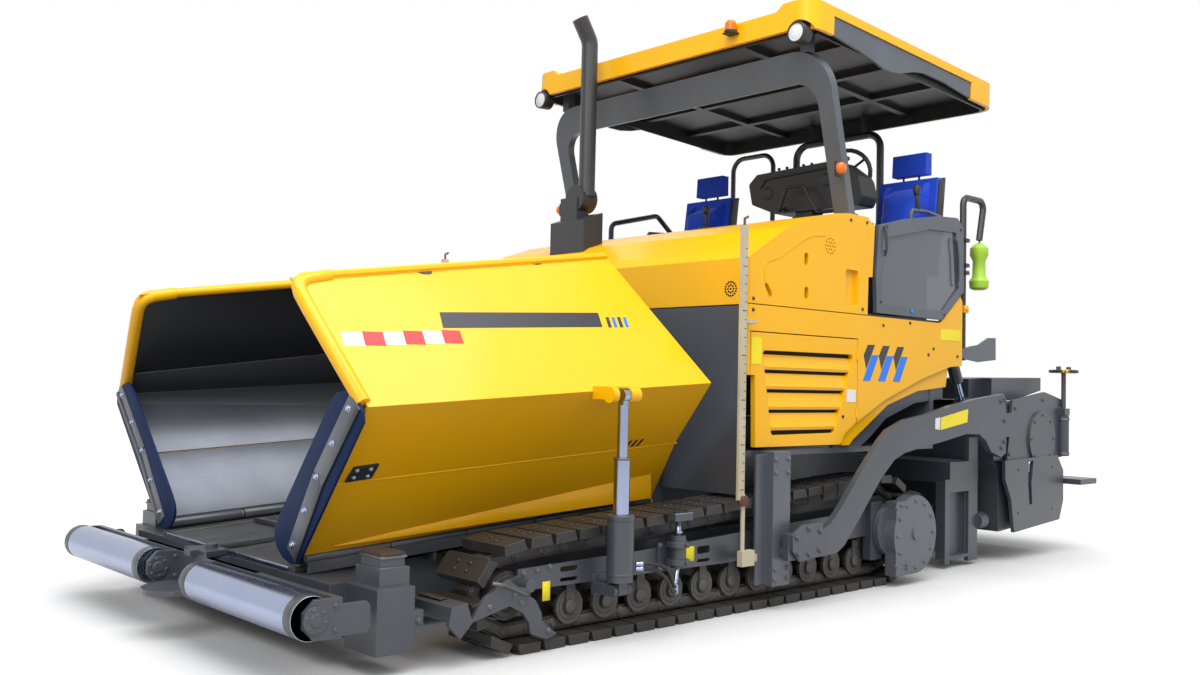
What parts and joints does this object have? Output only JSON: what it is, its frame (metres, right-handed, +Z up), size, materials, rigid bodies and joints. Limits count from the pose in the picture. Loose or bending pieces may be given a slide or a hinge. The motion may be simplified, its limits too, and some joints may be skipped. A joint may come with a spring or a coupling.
{
  "type": "tracked asphalt paver",
  "caption": "Tracked road paver with folding hopper wings, slat conveyors, operator's deck under a canopy, tow arms, augers and an extending floating screed.",
  "frame": {"origin": "on the ground under the tracks, midway along the machine and across it", "axes": "+X is the driving direction, +Y the machine's left side, +Z up"},
  "size_m": [6.58, 2.85, 3.6409],
  "materials": {
    "yellow_paint": "gloss",
    "grey_paint": "satin",
    "black_paint": "satin",
    "worn_steel": "worn",
    "polished_steel": "polished",
    "chrome": "polished",
    "track_rubber": "matt",
    "navy_rubber": "matt",
    "cast_iron": "cast",
    "seat_fabric": "woven",
    "black_plastic": "grained",
    "smoked_glass": "clear",
    "lamp_glass": "clear",
    "pale_paint": "satin"
  },
  "bodies": {
    "chassis": {"tracks": "track_rubber", "idlers": "cast_iron", "sprockets": "cast_iron", "track_rollers": "cast_iron", "track_frames": "grey_paint", "final_drives": "grey_paint", "main_frame": "grey_paint", "hinge_rails": "grey_paint", "hopper_floor": "worn_steel", "conveyors": "worn_steel", "bulkhead": "grey_paint", "front_beam": "grey_paint", "engine": "cast_iron", "hood": "yellow_paint", "upper_panels": "yellow_paint", "body_panels": "yellow_paint", "inner_body": "grey_paint", "deck": "black_paint", "window_panels": "grey_paint", "window_glass": "smoked_glass", "seats": "seat_fabric", "seat_bases": "black_plastic", "console": "black_plastic", "exhaust_box": "black_paint", "exhaust_stack": "black_paint", "canopy": "yellow_paint", "canopy_skirts": "grey_paint", "canopy_lining": "black_plastic", "canopy_posts": "grey_paint", "lamps": "lamp_glass", "handrails": "black_paint", "guide_columns": "grey_paint", "level_scales": "pale_paint", "auger_frame": "grey_paint"},
    "push_beam": {"push_beam": "grey_paint"},
    "push_roller_left": {"push_roller_left": "polished_steel"},
    "push_roller_right": {"push_roller_right": "polished_steel"},
    "wing_left": {"hopper_wing_left": "yellow_paint", "wing_flap_left": "navy_rubber"},
    "wing_right": {"hopper_wing_right": "yellow_paint", "wing_flap_right": "navy_rubber"},
    "screed": {"tow_arms": "grey_paint", "screed": "grey_paint", "screed_deck": "grey_paint"},
    "wing_barrel_left": {"wing_barrel_left": "grey_paint"},
    "wing_sleeve_left": {"wing_sleeve_left": "chrome"},
    "wing_rod_left": {"wing_rod_left": "chrome"},
    "engine_door_left": {"engine_door_left": "yellow_paint"},
    "screed_extension_left": {"screed_extension_left": "grey_paint"},
    "auger_left": {"auger_left": "worn_steel"},
    "lift_barrel_left": {"lift_barrel_left": "grey_paint"},
    "lift_rod_left": {"lift_rod_left": "chrome"},
    "wing_barrel_right": {"wing_barrel_right": "grey_paint"},
    "wing_sleeve_right": {"wing_sleeve_right": "chrome"},
    "wing_rod_right": {"wing_rod_right": "chrome"},
    "engine_door_right": {"engine_door_right": "yellow_paint"},
    "screed_extension_right": {"screed_extension_right": "grey_paint"},
    "auger_right": {"auger_right": "worn_steel"},
    "lift_barrel_right": {"lift_barrel_right": "grey_paint"},
    "lift_rod_right": {"lift_rod_right": "chrome"}
  },
  "joints": [
    {"name": "push_beam_pivot", "type": "hinge", "parent": "chassis", "child": "push_beam", "pos_m": [3.005, 0, 0.36], "axis": [0, 0, 1], "range_deg": [-1, 1]},
    {"name": "push_roller_left_spin", "type": "hinge", "parent": "push_beam", "child": "push_roller_left", "pos_m": [3.17, 0.74, 0.272], "axis": [0, 1, 0], "continuous": true},
    {"name": "push_roller_right_spin", "type": "hinge", "parent": "push_beam", "child": "push_roller_right", "pos_m": [3.17, -0.74, 0.272], "axis": [0, 1, 0], "continuous": true},
    {"name": "wing_left_fold", "type": "hinge", "parent": "chassis", "child": "wing_left", "pos_m": [0.84, 0.72, 0.532], "axis": [-0.998, 0, 0.0628], "range_deg": [0, 40]},
    {"name": "wing_barrel_left_pivot", "type": "hinge", "parent": "chassis", "child": "wing_barrel_left", "pos_m": [1.686, 1.36, 0.235], "axis": [-1, 0, 0], "range_deg": [0, 39.04]},
    {"name": "wing_sleeve_left_slide", "type": "slide", "parent": "wing_barrel_left", "child": "wing_sleeve_left", "axis": [0, 0, -1], "range_m": [0, 0.235]},
    {"name": "wing_rod_left_slide", "type": "slide", "parent": "wing_sleeve_left", "child": "wing_rod_left", "axis": [0, 0, -1], "range_m": [0, 0.2334]},
    {"name": "wing_right_fold", "type": "hinge", "parent": "chassis", "child": "wing_right", "pos_m": [0.84, -0.72, 0.532], "axis": [0.998, 0, -0.0628], "range_deg": [0, 40]},
    {"name": "wing_barrel_right_pivot", "type": "hinge", "parent": "chassis", "child": "wing_barrel_right", "pos_m": [1.686, -1.36, 0.235], "axis": [1, 0, 0], "range_deg": [0, 39.04]},
    {"name": "wing_sleeve_right_slide", "type": "slide", "parent": "wing_barrel_right", "child": "wing_sleeve_right", "axis": [0, 0, -1], "range_m": [0, 0.235]},
    {"name": "wing_rod_right_slide", "type": "slide", "parent": "wing_sleeve_right", "child": "wing_rod_right", "axis": [0, 0, -1], "range_m": [0, 0.2334]},
    {"name": "engine_door_left_hinge", "type": "hinge", "parent": "chassis", "child": "engine_door_left", "pos_m": [-0.326, 1.264, 1.15], "axis": [0, 0, 1], "range_deg": [0, 90]},
    {"name": "engine_door_right_hinge", "type": "hinge", "parent": "chassis", "child": "engine_door_right", "pos_m": [-0.326, -1.264, 1.15], "axis": [0, 0, -1], "range_deg": [0, 90]},
    {"name": "screed_lift", "type": "hinge", "parent": "chassis", "child": "screed", "pos_m": [0.46, 0, 0.3], "axis": [0, -1, 0], "range_deg": [0, 4.1]},
    {"name": "lift_barrel_left_pivot", "type": "hinge", "parent": "chassis", "child": "lift_barrel_left", "pos_m": [-1.7, 1.06, 1.5], "axis": [0, -1, 0], "range_deg": [0, 3.15]},
    {"name": "lift_rod_left_slide", "type": "slide", "parent": "lift_barrel_left", "child": "lift_rod_left", "axis": [-0.4644, 0, -0.8856], "range_m": [0, 0.1766]},
    {"name": "lift_barrel_right_pivot", "type": "hinge", "parent": "chassis", "child": "lift_barrel_right", "pos_m": [-1.7, -1.06, 1.5], "axis": [0, -1, 0], "range_deg": [0, 3.15]},
    {"name": "lift_rod_right_slide", "type": "slide", "parent": "lift_barrel_right", "child": "lift_rod_right", "axis": [-0.4644, 0, -0.8856], "range_m": [0, 0.1766]},
    {"name": "screed_extension_left_slide", "type": "slide", "parent": "screed", "child": "screed_extension_left", "axis": [0, 1, 0], "range_m": [0, 1.1]},
    {"name": "auger_left_spin", "type": "hinge", "parent": "chassis", "child": "auger_left", "pos_m": [-1.69, 0.6, 0.3], "axis": [0, 1, 0], "continuous": true},
    {"name": "screed_extension_right_slide", "type": "slide", "parent": "screed", "child": "screed_extension_right", "axis": [0, -1, 0], "range_m": [0, 1.1]},
    {"name": "auger_right_spin", "type": "hinge", "parent": "chassis", "child": "auger_right", "pos_m": [-1.69, -0.6, 0.3], "axis": [0, 1, 0], "continuous": true}
  ],
  "couplings": [
    {"joint": "wing_barrel_left_pivot", "follows": "wing_left_fold", "ratio": 0.97605},
    {"joint": "wing_sleeve_left_slide", "follows": "wing_left_fold", "m_per_rad": 0.3366},
    {"joint": "wing_rod_left_slide", "follows": "wing_left_fold", "m_per_rad": 0.33431},
    {"joint": "wing_barrel_right_pivot", "follows": "wing_right_fold", "ratio": 0.97605},
    {"joint": "wing_sleeve_right_slide", "follows": "wing_right_fold", "m_per_rad": 0.3366},
    {"joint": "wing_rod_right_slide", "follows": "wing_right_fold", "m_per_rad": 0.33431},
    {"joint": "lift_barrel_left_pivot", "follows": "screed_lift", "ratio": 0.7686},
    {"joint": "lift_rod_left_slide", "follows": "screed_lift", "m_per_rad": 2.4671},
    {"joint": "lift_barrel_right_pivot", "follows": "screed_lift", "ratio": 0.7686},
    {"joint": "lift_rod_right_slide", "follows": "screed_lift", "m_per_rad": 2.4671}
  ]
}
